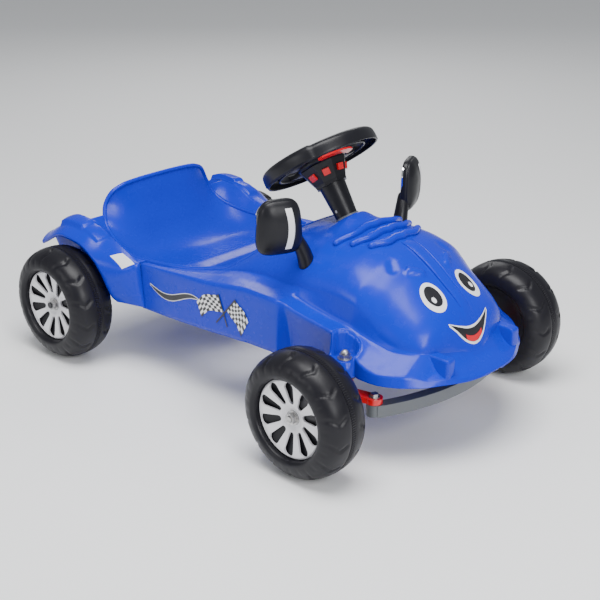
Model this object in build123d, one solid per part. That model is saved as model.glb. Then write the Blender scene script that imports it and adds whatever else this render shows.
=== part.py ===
from build123d import *
import math
import os

# A child's pedal car, moulded in plastic, at its real size in millimetres.
# X runs forward, Y to the car's left and Z up. The origin is on the ground,
# under the middle of the car.

# ---- driving dimensions -------------------------------------------------
wheel_radius = 110.0
tyre_half_width = 47.0
axle_height = wheel_radius
front_axle_x = 301.0
rear_axle_x = -369.0
front_wheel_y = 280.5           # middle plane of a front wheel
rear_wheel_y = 253.5            # middle plane of a rear wheel
rim_radius = 68.5               # white trim disc
rim_slots = 10
axle_radius = 6.0
running_gap = 0.1               # radial play of everything that turns

wall = 4.0                      # moulded body wall
lip_height = 146.0              # lower edge of the nose lip
side_wall_y = 185.0             # inner wall beside each rear wheel
seat_height = 177.0             # level part of the seat pan

kingpin_y = 182.0
arm_reach = 56.0                # kingpin to tie rod eye, along the car
arm_inset = 12.0                # the same, towards the middle of the car
tie_rod_height = 97.0

column_foot = Vector(141, 0, 341)  # where the column tube leaves the collar
column_tilt = 35.5              # degrees back from upright
steering_wheel_radius = 108.0

throw = 30.0                    # radius of the rear axle's two cranks
throw_y = 45.0
pedal_pivot_x = 132.0
pedal_pivot_z = 268.0
pedal_arm = 115.0               # pedal pivot to push rod
lever_y = 64.0                  # middle plane of a pedal lever
lever_half = 4.0

os.makedirs("parts", exist_ok=True)


# ---- small tools --------------------------------------------------------
def save(name, *solids):
    """Writes one node, made of one solid or of a group of separate solids."""
    whole = solids[0] if len(solids) == 1 else Compound(list(solids))
    export_step(whole, "parts/" + name + ".step")


def rod(start, end, radius):
    """A round bar from one point to another."""
    start, end = Vector(start), Vector(end)
    plane = Plane(origin=start, z_dir=end - start)
    return extrude(plane * Circle(radius), (end - start).length)


def tube(start, end, outer, inner):
    return rod(start, end, outer) - rod(start, end, inner)


def block(low, high):
    """A box between two corners."""
    size = [b - a for a, b in zip(low, high)]
    middle = [(a + b) / 2 for a, b in zip(low, high)]
    return Pos(*middle) * Box(*size)


def mirrored(solid):
    """The same piece on the car's other side."""
    return mirror(solid, about=Plane.XZ)


def on_side(name, solid):
    """A left-hand piece as it is, or its mirror image for the right."""
    return solid if name == "left" else mirrored(solid)


def offset_line(points, distance):
    """A polyline moved sideways, to the right of its run, by a distance."""
    moved = []
    last = len(points) - 1
    for i, (u, v) in enumerate(points):
        before, after = points[max(i - 1, 0)], points[min(i + 1, last)]
        du, dv = after[0] - before[0], after[1] - before[1]
        length = math.hypot(du, dv)
        moved.append((u + distance * dv / length, v - distance * du / length))
    return moved


def sheet(stations, thickness):
    """A moulded wall through outlines of (y, z) points at several x."""
    faces = []
    for x, outline in stations:
        inner = offset_line(outline, thickness)
        loop = list(outline) + inner[::-1]
        faces.append(make_face(Polyline(*[(x, y, z) for y, z in loop], close=True)))
    return loft(faces, ruled=True)


def side_plate(outline, y_low, y_high):
    """A flat plate of (x, z) points, lying along the car."""
    face = make_face(Polyline(*[(x, y_low, z) for x, z in outline], close=True))
    return extrude(face, y_high - y_low, dir=(0, 1, 0))


def floor_plate(outline, z_low, z_high):
    """A level plate of (x, y) points."""
    face = make_face(Polyline(*[(x, y, z_low) for x, y in outline], close=True))
    return extrude(face, z_high - z_low, dir=(0, 0, 1))


def both_sides(half):
    """The whole outline, right to left, of a half one from the middle out."""
    return [(-y, z) for y, z in reversed(half)] + [(y, z) for y, z in half if y > 0]


# ---- body shell ---------------------------------------------------------
dome_steps = (0.0, 0.25, 0.5, 0.72, 0.9, 1.0)
dome_power = 2.4


def hood_outline(top, dome_y, dome_z, flare_y, flare_z, skirt_y, skirt_z):
    """The hood's section: a full round dome, a flare and a skirt."""
    rise = top - dome_z
    half = []
    for step in dome_steps:
        height = (1 - step ** dome_power) ** (1 / dome_power)
        half.append((dome_y * step, dome_z + rise * height))
    return both_sides(half + [(flare_y, flare_z), (skirt_y, skirt_z)])


hood_stations = [
    (80, hood_outline(320, 150, 254, 200, 243, 198, 141)),
    (125, hood_outline(327, 150, 253, 200, 243, 198, 142)),
    (162, hood_outline(335, 150, 250, 199, 241, 197, 143)),
    (176, hood_outline(338, 150, 247, 178, 236, 174, 150)),
    (240, hood_outline(336, 148, 232, 180, 220, 173, 150)),
    (301, hood_outline(319, 146, 212, 180, 194, 173, 150)),
    (350, hood_outline(291, 138, 196, 174, 176, 172, 148)),
    (404, hood_outline(245, 112, 186, 150, 168, 161, lip_height)),
    (430, hood_outline(196, 70, 178, 118, 166, 139, lip_height)),
    (441, hood_outline(172, 40, 169, 100, 162, 130, lip_height)),
]
hood = sheet(hood_stations, wall)
nose_cap = side_plate([(438, 150), (442, 150), (442, 170), (438, 174)], -96, 96)
lip = floor_plate(
    [(400, 163), (441, 132), (463, 90), (473, 50), (479, 14), (479, -14),
     (473, -50), (463, -90), (441, -132), (400, -163), (430, -112), (440, -60),
     (440, 60), (430, 112)],
    lip_height, lip_height + 6)
bumper_guard = block((432, 76, lip_height + 4), (462, 94, 186))

# The round pocket that each kingpin stands in, its floor let in below the rim.
pocket_floor = 174.0
boss_foot = 149.0
pocket_boss = rod((front_axle_x, kingpin_y, boss_foot), (front_axle_x, kingpin_y, 200), 26)
pocket_space = rod((front_axle_x, kingpin_y, pocket_floor), (front_axle_x, kingpin_y, 240), 21)
kingpin_hole = rod((front_axle_x, kingpin_y, 140), (front_axle_x, kingpin_y, 240), 6.3)

# The sills, from the hood back to the seat. Each rolls over into the cockpit.
sill_stations = [
    (90, [(198, 141), (200, 243), (148, 262), (70, 318), (64, 316)]),
    (40, [(198, 139), (200, 239), (150, 256), (100, 290), (95, 282)]),
    (-31, [(199, 135), (200, 230), (170, 234), (141, 236), (137, 226)]),
    (-93, [(199, 132), (200, 225), (185, 229), (164, 226), (160, 216)]),
    (-150, [(199, 130), (200, 221), (191, 225), (180, 222), (176, 212)]),
    (-235, [(198, 127), (199, 217), (192, 221), (180, 217), (176, 207)]),
    (-285, [(194, 127), (196, 215), (188, 220), (172, 216), (168, 206)]),
]
left_sill = sheet([(x, line[::-1]) for x, line in sill_stations], wall)


def seat_outline(pan_z, pan_y, edge_y, edge_z):
    """The seat's section: a level pan whose sides sweep up to a rolled rim."""
    half = [(pan_y * 0.7, pan_z), (pan_y, pan_z + 7), (edge_y - 9, edge_z - 14),
            (edge_y, edge_z)]
    return both_sides(half)


# The pan is lofted a little high, then faced off to a true plane at seat_height.
pan_spare = 0.5
pan_facing = block((-288, -93, seat_height), (-242, 93, seat_height + 8))
seat_stations = [
    (-356, seat_outline(262, 100, 146, 288)),
    (-341, seat_outline(222, 112, 150, 250)),
    (-322, seat_outline(194, 120, 157, 228)),
    (-285, seat_outline(seat_height + pan_spare, 126, 171, 214)),
    (-245, seat_outline(seat_height + pan_spare, 130, 179, 214)),
    (-200, seat_outline(183, 132, 178, 218)),
    (-150, seat_outline(199, 134, 178, 221)),
    (-120, seat_outline(206, 132, 172, 223)),
    (-104, seat_outline(196, 128, 166, 222)),
]
seat = sheet(seat_stations, wall) - pan_facing
backrest_lean = [(-352, 254), (-362, 300), (-367, 318), (-374, 319), (-368, 300), (-360, 256)]
backrest = side_plate(backrest_lean, -144, 144)
backrest_shape = [(-144, 240), (-144, 262), (-136, 290), (-120, 308), (-92, 319), (92, 319),
                  (120, 308), (136, 290), (144, 262), (144, 240)]
backrest_face = make_face(Polyline(*[(-420, y, z) for y, z in backrest_shape], close=True))
backrest = backrest & extrude(backrest_face, 100, dir=(1, 0, 0))

# A rear mudguard: a crowned band turned about the axle, and the wall under it.
guard_profile = [(side_wall_y - 3, 150), (192, 150), (222, 141), (239, 131),
                 (238, 127), (220, 137), (190, 146), (side_wall_y - 3, 146)]
guard_start, guard_sweep = 22.0, 112.0
guard_face = make_face(
    Polyline(*[(rear_axle_x + r, y, axle_height) for y, r in guard_profile], close=True))
rear_axis = Axis((rear_axle_x, 0, axle_height), (0, -1, 0))
mudguard = revolve(guard_face.rotate(rear_axis, guard_start), rear_axis, guard_sweep)
guard_circle = [
    (rear_axle_x + 148 * math.cos(math.radians(a)), axle_height + 148 * math.sin(math.radians(a)))
    for a in range(10, 140, 10)]
side_wall = side_plate(guard_circle + [(-440, 150), (-404, 122), (-240, 122)],
                       side_wall_y - 3, side_wall_y + 1)
seat_deck = sheet(
    [(-362, [(184, 258), (160, 268), (138, 270)]), (-322, [(184, 244), (168, 236), (150, 224)]),
     (-285, [(184, 226), (176, 222), (164, 210)]), (-245, [(186, 218), (182, 220), (174, 212)])],
    wall)
axle_slot = rod((rear_axle_x, 100, axle_height), (rear_axle_x, 240, axle_height), 16)

# The collar that the steering column stands in, open below.
column_way = Vector(-math.sin(math.radians(column_tilt)), 0, math.cos(math.radians(column_tilt)))


def on_column(distance):
    """A point on the column's axis, measured up from the collar's mouth."""
    return column_foot + column_way * distance


def column_cone(low, high, low_radius, high_radius):
    plane = Plane(origin=on_column(low), x_dir=(0, 1, 0), z_dir=column_way)
    ends = [plane * Circle(low_radius), plane.offset(high - low) * Circle(high_radius)]
    return loft(ends)


ring_thickness = 4.0
collar = column_cone(-46, -ring_thickness, 46, 25)
collar_space = column_cone(-90, -ring_thickness - 6, 40, 20)
column_hole = rod(on_column(-40), on_column(10), axle_radius + running_gap + 1)

# Bosses for the mirrors, and hangers for the pedal rod, under the hood.
mirror_foot = Vector(160, 129, 314)
mirror_boss = rod((160, 129, 284), mirror_foot, 16)
mirror_screw_hole = rod((160, 129, 280), (160, 129, 330), 2.6)
pedal_hanger = block((pedal_pivot_x - 14, 114, 254), (pedal_pivot_x + 14, 134, 296))
pedal_rod_radius = 5.0
hanger_hole = rod((pedal_pivot_x, 100, pedal_pivot_z), (pedal_pivot_x, 129, pedal_pivot_z),
                  pedal_rod_radius)
screw_ways = Compound([
    rod((rear_axle_x + x, 170, 150), (rear_axle_x + x, 200, 150), 3.1) for x in (-15, 15)])

half_body = left_sill + mudguard + side_wall + seat_deck - axle_slot - screw_ways
half_body = half_body + bumper_guard + pedal_hanger
body = hood + nose_cap + lip + seat + backrest
for half, boss in ((half_body, mirror_boss), (mirrored(half_body), mirrored(mirror_boss))):
    body = body + half + boss
column_room = column_cone(-ring_thickness, 80, 26, 26)
body = body + collar - collar_space - column_hole - column_room
body = body + pocket_boss + mirrored(pocket_boss)
for cut in (pocket_space, kingpin_hole, mirror_screw_hole, hanger_hole):
    body = body - cut - mirrored(cut)
save("body_shell", body)

# ---- front axle ---------------------------------------------------------
beam_bottom = 143.0
beam = block((290, -200, beam_bottom), (320, 200, boss_foot))
for side in (1, -1):
    beam = beam - rod((front_axle_x, side * kingpin_y, 130), (front_axle_x, side * kingpin_y, 160), 6.3)
save("front_axle_beam", beam)

# A kingpin is a long bolt, head down, with a washer and a dome nut in the pocket.
pin_bolt = rod((front_axle_x, kingpin_y, 88), (front_axle_x, kingpin_y, 184), axle_radius)
pin_head = extrude(Pos(front_axle_x, kingpin_y, 82) * RegularPolygon(11, 6), 6)
pin_bolt = pin_bolt + pin_head
save("kingpin_bolts", pin_bolt, mirrored(pin_bolt))
pin_washer = tube((front_axle_x, kingpin_y, pocket_floor), (front_axle_x, kingpin_y, 175.6), 13, 6.1)
save("kingpin_washers", pin_washer, mirrored(pin_washer))
nut_plane = Pos(front_axle_x, kingpin_y, 175.6)
pin_nut = extrude(nut_plane * RegularPolygon(10, 6), 7) + nut_plane * Pos(0, 0, 7) * Sphere(8)
pin_nut = pin_nut - rod((front_axle_x, kingpin_y, 160), (front_axle_x, kingpin_y, 184.2), 6.05)
save("kingpin_nuts", pin_nut, mirrored(pin_nut))

# The moulded steering arm: an upright boss, a sleeve for the stub axle and an arm.
arm_low, arm_high = 108.0, 118.0
eye = Vector(front_axle_x + arm_reach, kingpin_y - arm_inset, 0)
stub_start, stub_end = kingpin_y + 10, front_wheel_y + 37
knuckle_top = beam_bottom - 0.4
arm_run = math.hypot(arm_reach, arm_inset)
arm_turn = -math.degrees(math.atan2(arm_inset, arm_reach))
arm = Pos(front_axle_x, kingpin_y, (arm_low + arm_high) / 2) * Rot(0, 0, arm_turn) * (
    Pos(arm_run / 2, 0, 0) * Box(arm_run, 24, arm_high - arm_low))
knuckle = rod((front_axle_x, kingpin_y, 90), (front_axle_x, kingpin_y, knuckle_top), 15)
knuckle = knuckle + rod((front_axle_x, kingpin_y, axle_height), (front_axle_x, 226, axle_height), 13)
knuckle = knuckle + arm + rod((eye.X, eye.Y, arm_low), (eye.X, eye.Y, arm_high), 14)
knuckle = knuckle - rod((front_axle_x, kingpin_y, 80), (front_axle_x, kingpin_y, 150), 6.1)
knuckle = knuckle - rod((front_axle_x, stub_start, axle_height), (front_axle_x, 240, axle_height),
                        axle_radius)
knuckle = knuckle - rod((eye.X, eye.Y, 100), (eye.X, eye.Y, 130), 4.05)
stub_axle = rod((front_axle_x, stub_start, axle_height), (front_axle_x, stub_end, axle_height),
                axle_radius)


def axle_nut(x, y_low):
    """A washer and a domed nut on an axle's end, on the car's left."""
    washer = tube((x, y_low, axle_height), (x, y_low + 1.6, axle_height), 13, axle_radius + 0.1)
    plane = Plane(origin=(x, y_low + 1.6, axle_height), z_dir=(0, 1, 0))
    nut = extrude(plane * RegularPolygon(10, 6), 8)
    nut = nut - rod((x, y_low, axle_height), (x, y_low + 20, axle_height), axle_radius)
    return [washer, nut]


hub_dish = 11.5
nut_gap = 0.3
front_hub_face = front_wheel_y + 36.3 - hub_dish
rear_hub_face = rear_wheel_y + 36.3 - hub_dish
bolt_washer = tube((eye.X, eye.Y, arm_high), (eye.X, eye.Y, arm_high + 1.6), 9.5, 4.05)
bolt_plane = Pos(eye.X, eye.Y, arm_high + 1.6)
rod_bolt = rod((eye.X, eye.Y, 88), (eye.X, eye.Y, arm_high + 2), 4) + extrude(
    bolt_plane * RegularPolygon(7, 6), 5)
for name in ("left", "right"):
    save("knuckle_" + name, on_side(name, knuckle))
    save("stub_axle_" + name, on_side(name, stub_axle))
    nut_pieces = axle_nut(front_axle_x, front_hub_face + nut_gap)
    save("front_axle_nut_" + name, *[on_side(name, piece) for piece in nut_pieces])
    save("tie_rod_bolt_" + name, on_side(name, rod_bolt), on_side(name, bolt_washer))

# The tie rod: a bar of channel section, bowed forward round the steering crank.
bow_radius, bow_middle, bar_width = 373.0, 404.0, 20.0
bar_low, bar_high = 86.0, 107.4
bow_centre = bow_middle - bow_radius
sector = [(bow_centre, 0), (bow_centre + 460, -eye.Y * 460 / 326), (bow_centre + 460, eye.Y * 460 / 326)]


def bow_ring(outer, inner, low, high):
    ring = tube((bow_centre, 0, low), (bow_centre, 0, high), outer, inner)
    return ring & floor_plate(sector, low, high)


bar = bow_ring(bow_radius + bar_width / 2, bow_radius - bar_width / 2, bar_low, bar_high)
hollow = bow_ring(bow_radius + bar_width / 2 - 3, bow_radius - bar_width / 2 + 3, bar_low - 1, 101)
tongue = block((342, -17, 94), (400, 17, 100))
slot_near, slot_far, slot_half = 347.0, 374.0, 8.0
slot = block((slot_near, -slot_half, 90), (slot_far, slot_half, 110))
for x in (slot_near, slot_far):
    slot = slot + rod((x, 0, 90), (x, 0, 110), slot_half)
bar = bar - hollow + tongue
for side in (1, -1):
    eye_boss = rod((eye.X, side * eye.Y, bar_low), (eye.X, side * eye.Y, bar_high), 14)
    eye_hole = rod((eye.X, side * eye.Y, 80), (eye.X, side * eye.Y, 120), 4.1 if side == -1 else 7)
    bar = bar + eye_boss - eye_hole
tie_rod = bar - slot
save("tie_rod", tie_rod)

# ---- steering column ----------------------------------------------------
shaft_foot = -268.0
shaft = rod(on_column(shaft_foot), on_column(110), axle_radius)
web_start = on_column(shaft_foot)
pin_x = 361.6
shaft = shaft + Pos(*web_start) * Sphere(axle_radius)
shaft = shaft + rod(web_start, (pin_x, 0, 116), 5) + Pos(pin_x, 0, 116) * Sphere(5)
shaft = shaft + rod((pin_x, 0, 116), (pin_x, 0, 90), 4)
save("steering_shaft", shaft)
bearing = block((262, -22, 130), (290, 22, 168)) - rod(on_column(-290), on_column(-180), 6.1)
save("steering_bearing", bearing)
save("column_ring", tube(on_column(-ring_thickness), on_column(0), 22, 6.1))

tube_height = 62.0
tube_shell = column_cone(0.5, tube_height, 20, 24.5) - column_cone(4.5, tube_height - 4, 17.3, 21.2)
column_tube = tube_shell - rod(on_column(-5), on_column(70), axle_radius)
screw_place = Plane(origin=on_column(14) + Vector(0, -20.9, 0), z_dir=(0, 1, 0))
screw_hole = extrude(screw_place * Circle(3), 15, both=True)
save("column_tube", column_tube - screw_hole)
save("column_screw", extrude(screw_place.offset(0.6) * Circle(2.9), 13.8))

# The hub: an eight-sided housing that flares up to the wheel.
hub_low, hub_high = tube_height, 101.0
hub_plane = Plane(origin=on_column(hub_low), x_dir=(0, 1, 0), z_dir=column_way)


def octagon(across, height):
    ring = RegularPolygon(across / 2, 8, major_radius=False, rotation=22.5)
    return hub_plane.offset(height) * ring


hub_rise = hub_high - hub_low
hub = loft([octagon(56, 0), octagon(58, 6), octagon(84, hub_rise)], ruled=True)
hub = hub - loft([octagon(48, 4), octagon(50, 6), octagon(76, hub_rise - 4)], ruled=True)
hub = hub - rod(on_column(40), on_column(120), axle_radius)
# Five windows look forward and to the sides; the face towards the driver is plain.
window_slope = math.degrees(math.atan2(13, hub_rise - 6))
windows, window_cuts = [], []
for turn_angle in (-90, -45, 0, 45, 90):
    facing = hub_plane * Rot(0, 0, turn_angle - 90) * Pos(35.4, 0, 22) * Rot(0, window_slope, 0)
    window_cuts.append(facing * Box(9, 13, 12))
    windows.append(facing * Pos(0.3, 0, 0) * Box(7, 12.8, 11.8))
for cut in window_cuts:
    hub = hub - cut
save("steering_hub", hub)
save("hub_windows", *windows)

# The wheel: a deep rim open underneath, three spokes and a boss.
rim_low, rim_high = 101.5, 128.0
rim_depth = rim_high - rim_low
wheel_plane = Plane(origin=on_column(rim_low), x_dir=(0, 1, 0), z_dir=column_way)


def wheel_turned(profile):
    """A profile of (radius, height) turned about the column's axis."""
    face = make_face(Polyline(*[(r, 0, h) for r, h in profile], close=True))
    return wheel_plane.location * revolve(face, Axis.Z, 360)


R = steering_wheel_radius
rim = wheel_turned([(R - 1, 0), (R, 3), (R, 17), (R - 4, 24), (R - 12, rim_depth), (R - 20, 24),
                    (R - 26, 17), (R - 27, 6), (R - 24, 3), (R - 21, 7), (R - 19, 15), (R - 12, 20),
                    (R - 5, 15), (R - 4, 0)])
boss_disc = wheel_turned([(6, 0), (43, 0), (46, 6), (42, 17), (36, 20), (21, 20), (21, 12), (6, 12)])
wheel = rim + boss_disc
for turn_angle in (0, 90, 180):
    spoke = Pos(64, 0, 11) * Box(46, 30, 9)
    wheel = wheel + wheel_plane.location * Rot(0, 0, turn_angle) * spoke
save("steering_wheel", wheel)

# A curved red insert under the boss's front edge.
insert = wheel_turned([(47, 1), (60, 3), (60, 6), (47, 6.5)])
insert = insert & (wheel_plane.location * Rot(0, 0, 270) * Pos(60, 0, 3) * Box(52, 80, 20))
save("horn_insert", insert)
button = wheel_turned([(0, 16), (20, 16), (20, 20), (16, 24.5), (8, 26), (0, 26)])
save("horn_button", button)
spring_path = Helix(pitch=1.3, height=3.2, radius=9)
coil = sweep(Plane(origin=spring_path @ 0, z_dir=spring_path % 0) * Circle(0.3), path=spring_path)
save("horn_spring", wheel_plane.location * Pos(0, 0, 12.4) * coil)

# ---- mirrors ------------------------------------------------------------
mirror_middle = Vector(147, 176, 364)
mirror_yaw = 25.0
mirror_width, mirror_height, mirror_depth = 90.0, 98.0, 26.0


mirror_place = Pos(*mirror_middle) * Rot(0, 0, mirror_yaw) * Rot(0, 90, 0) * Rot(0, 0, 90)
mirror_rim = RectangleRounded(mirror_width, mirror_height, mirror_depth)
case_back = loft([
    mirror_place * Pos(0, 0, -12) * mirror_rim,
    mirror_place * Pos(0, 0, 2) * mirror_rim,
    mirror_place * Pos(0, 0, 13) * RectangleRounded(mirror_width - 26, mirror_height - 26, 20)],
    ruled=True)
glass_seat = extrude(mirror_place * Pos(0, 0, -14) * RectangleRounded(80, 88, 22), 5)
stem_top = Vector(150, 142, 336)
stem = rod(mirror_foot, stem_top, 11) + Pos(*stem_top) * Sphere(11)
stem = stem & block((100, 90, mirror_foot.Z), (220, 200, 400))
housing = case_back + stem - glass_seat - mirror_screw_hole
glass = extrude(mirror_place * Pos(0, 0, -12) * RectangleRounded(79.6, 87.6, 22), 3)
mirror_screw = rod((160, 129, 283), (160, 129, 318), 2.5) + rod((160, 129, 279), (160, 129, 283), 5)
for name in ("left", "right"):
    save("mirror_housing_" + name, on_side(name, housing))
    save("mirror_glass_" + name, on_side(name, glass))
save("mirror_screws", mirror_screw, mirrored(mirror_screw))

# ---- road wheels --------------------------------------------------------
section_power = 2.5
section_steps = 9


def tyre_line(half_width, outer, inner):
    """The tyre's section, (radius, y), from the outer face round to the inner."""
    line = []
    for i in range(2 * section_steps + 1):
        angle = math.pi / 2 * (1 - i / section_steps)
        across, out = math.sin(angle), math.cos(angle)
        y = math.copysign(abs(across) ** (2 / section_power), across) * half_width
        line.append((inner + (outer - inner) * abs(out) ** (2 / section_power), y))
    return line


def turned(profile, x, y):
    """A profile of (radius, y) turned about an axle."""
    face = make_face(Polyline(*[(r, v, 0) for r, v in profile], close=True))
    return Pos(x, y, axle_height) * revolve(face, Axis.Y, 360)


disc_out, disc_in = 36.3, 32.3
bush_radius = 11.0
outer_line = tyre_line(tyre_half_width, wheel_radius, 72)
inner_line = tyre_line(tyre_half_width - 4, wheel_radius - 4, 77)


def make_wheel(x, y):
    """A blown wheel with a hollow tyre and hub, its white trim disc and its bush."""
    shell = turned(
        outer_line + [(70, -40), (60, -30), (22, -30), (18, -36), (bush_radius, -36),
                      (bush_radius, 23.4), (22, 23.4), (56, 28), (69.5, 31.5), (71.5, 44)], x, y)
    hollow_way = turned(
        inner_line + [(75, -38), (64, -26), (26, -26), (26, 19), (55, 23.5), (72, 27.5), (76, 38)], x, y)
    vent = rod((x + 45, y - 40, axle_height), (x + 45, y - 20, axle_height), 3)
    tyre = shell - hollow_way - vent
    disc = turned([(rim_radius, 32), (rim_radius, 34), (rim_radius - 3, disc_out), (57, disc_out),
                   (22, disc_out - hub_dish + 3), (15, disc_out - hub_dish), (11.2, disc_out - hub_dish),
                   (11.2, disc_out - hub_dish - 1.2), (21, disc_out - hub_dish - 1.2), (56, 33), (66, 32)],
                  x, y)
    for i in range(rim_slots):
        start, end = Pos(30.5, 0), Pos(56.3, 0)
        shape = make_hull((start * Circle(5.2)).edges() + (end * Circle(9.7)).edges())
        plane = Plane(origin=(x, y + 20, axle_height), x_dir=(1, 0, 0), z_dir=(0, -1, 0))
        cutter = extrude(plane * Rot(0, 0, 18 + 360 * i / rim_slots) * shape, -24)
        disc = disc - cutter
    bush = turned([(axle_radius + 0.08, -36.5), (18, -36.5), (18, -36), (bush_radius, -36),
                   (bush_radius, disc_out - hub_dish), (axle_radius + 0.08, disc_out - hub_dish)], x, y)
    return tyre, disc, bush


for corner, x, y in (("front", front_axle_x, front_wheel_y), ("rear", rear_axle_x, rear_wheel_y)):
    tyre, disc, bush = make_wheel(x, y)
    for name in ("left", "right"):
        save("tyre_" + corner + "_" + name, on_side(name, tyre))
        save("rim_disc_" + corner + "_" + name, on_side(name, disc))
        save("hub_bush_" + corner + "_" + name, on_side(name, bush))

# ---- rear axle and drive ------------------------------------------------
axle_end = rear_hub_face + 12
web_near, web_far, web_thick = throw_y - 10, throw_y + 10, 6.0


def throw_at(side, up):
    """One crank of the rear axle: two webs and the pin between them."""
    pin_z = axle_height + up * throw
    low, high = min(axle_height, pin_z) - 7, max(axle_height, pin_z) + 7
    crank = rod((rear_axle_x, side * web_near, pin_z), (rear_axle_x, side * web_far, pin_z),
                axle_radius)
    for y in (web_near, web_far):
        ends = sorted((side * (y - web_thick / 2), side * (y + web_thick / 2)))
        crank = crank + block((rear_axle_x - 7, ends[0], low), (rear_axle_x + 7, ends[1], high))
    return crank


rear_axle = rod((rear_axle_x, -web_near, axle_height), (rear_axle_x, web_near, axle_height), axle_radius)
for side, up in ((-1, 1), (1, -1)):
    rear_axle = rear_axle + throw_at(side, up)
    rear_axle = rear_axle + rod((rear_axle_x, side * web_far, axle_height),
                                (rear_axle_x, side * axle_end, axle_height), axle_radius)
drive_pin = rod((rear_axle_x, -210, axle_height - 16), (rear_axle_x, -210, axle_height + 16), 2.5)
save("rear_axle", rear_axle - drive_pin)
save("drive_pin", drive_pin)
rear_nut = axle_nut(rear_axle_x, rear_hub_face + nut_gap)
save("rear_axle_nuts", *rear_nut, *[mirrored(piece) for piece in rear_nut])
spacer = tube((rear_axle_x, 190, axle_height), (rear_axle_x, 204, axle_height), 10, 6)
save("rear_axle_spacers", spacer, mirrored(spacer))
bearing_block = block((rear_axle_x - 24, 160, 94), (rear_axle_x + 24, 182, 164)) - rod(
    (rear_axle_x, 150, axle_height), (rear_axle_x, 190, axle_height), 6.1)
block_screw, screw_bores = [], bearing_block
for x in (-15, 15):
    shank = rod((rear_axle_x + x, 166, 150), (rear_axle_x + x, 186, 150), 3)
    block_screw.append(shank + rod((rear_axle_x + x, 186, 150), (rear_axle_x + x, 190, 150), 5.5))
    screw_bores = screw_bores - rod((rear_axle_x + x, 165, 150), (rear_axle_x + x, 190, 150), 3)
save("rear_axle_block_left", screw_bores)
save("rear_axle_block_right", mirrored(screw_bores))
save("block_screws", *block_screw, *[mirrored(s) for s in block_screw])

# The pedals hang from a rod across the car; each push rod joins one to a crank.
pedal_bar = rod((pedal_pivot_x, -129, pedal_pivot_z), (pedal_pivot_x, 129, pedal_pivot_z), pedal_rod_radius)
save("pedal_rod", pedal_bar)
for side, up, name in ((1, -1, "left"), (-1, 1, "right")):
    y_in, y_out = sorted((side * (lever_y - lever_half), side * (lever_y + lever_half)))
    lever = tube((pedal_pivot_x, side * 56, pedal_pivot_z), (pedal_pivot_x, side * 72, pedal_pivot_z),
                 10, pedal_rod_radius + 0.1)
    lever = lever + (block((pedal_pivot_x - 8, y_in, 104), (pedal_pivot_x + 8, y_out, pedal_pivot_z - 8))
                     - rod((pedal_pivot_x, side * 50, 153), (pedal_pivot_x, side * 80, 153), 5.2))
    save("pedal_lever_" + name, lever)
    y_in, y_out = sorted((side * (lever_y - lever_half), side * 118))
    pad = block((pedal_pivot_x - 12, y_in, 94), (pedal_pivot_x + 10, y_out, 132))
    y_in, y_out = sorted((side * (lever_y - lever_half), side * (lever_y + lever_half)))
    pad = pad - block((pedal_pivot_x - 8, y_in, 104), (pedal_pivot_x + 8, y_out, 140))
    save("pedal_pad_" + name, pad)
    pin_z = axle_height + up * throw
    y = side * throw_y
    front = Vector(pedal_pivot_x, y, 153)
    back = Vector(rear_axle_x, y, pin_z)
    push = rod(back, front, 5) + Pos(*front) * Sphere(5)
    push = push + rod(front, (pedal_pivot_x, side * 59, 153), 4.9)
    eye_start, eye_end = (Vector(rear_axle_x, y + reach, pin_z) for reach in (-4, 4))
    hole_start, hole_end = (Vector(rear_axle_x, y + reach, pin_z) for reach in (-9, 9))
    push = push + rod(eye_start, eye_end, 12)
    push = push - rod(hole_start, hole_end, axle_radius + running_gap)
    save("push_rod_" + name, push)
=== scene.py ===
import math

import bmesh
import bpy
import numpy as np
from mathutils import Matrix, Vector


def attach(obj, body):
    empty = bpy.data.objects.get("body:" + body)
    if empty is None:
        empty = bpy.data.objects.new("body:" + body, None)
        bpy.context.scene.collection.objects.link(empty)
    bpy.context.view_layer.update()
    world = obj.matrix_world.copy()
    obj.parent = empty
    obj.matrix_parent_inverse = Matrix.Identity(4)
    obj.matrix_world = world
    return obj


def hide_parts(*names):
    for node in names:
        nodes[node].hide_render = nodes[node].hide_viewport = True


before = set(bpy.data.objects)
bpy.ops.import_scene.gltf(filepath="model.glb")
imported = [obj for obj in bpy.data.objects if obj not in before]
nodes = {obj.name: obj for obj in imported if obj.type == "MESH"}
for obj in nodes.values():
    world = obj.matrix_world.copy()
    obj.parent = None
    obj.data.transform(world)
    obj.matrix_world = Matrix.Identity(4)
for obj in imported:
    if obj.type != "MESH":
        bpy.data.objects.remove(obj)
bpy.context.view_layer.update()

# ---- Camera, floor and light ----------------------------------------------
# A pale studio: a sheet of paper under the car and four soft boxes, a large one
# overhead, one at the nose and weaker ones at the side and behind, in an even room.
camera_place = Vector((1.6143, -1.6794, 1.0890))
camera_aim = Vector((0.0263, 0.0, 0.1477))
camera_roll = 0.0024
view_line = (camera_aim - camera_place).normalized()
camera = bpy.data.objects.new("camera", bpy.data.cameras.new("camera"))
camera.data.lens = 79.2
camera.data.sensor_width = 36.0
camera.data.clip_start = 0.05
camera.location = camera_place
camera.rotation_mode = "QUATERNION"
level = view_line.to_track_quat("-Z", "Y")
camera.rotation_quaternion = level @ Matrix.Rotation(camera_roll, 3, "Z").to_quaternion()
bpy.context.scene.collection.objects.link(camera)
bpy.context.scene.camera = camera

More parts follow.
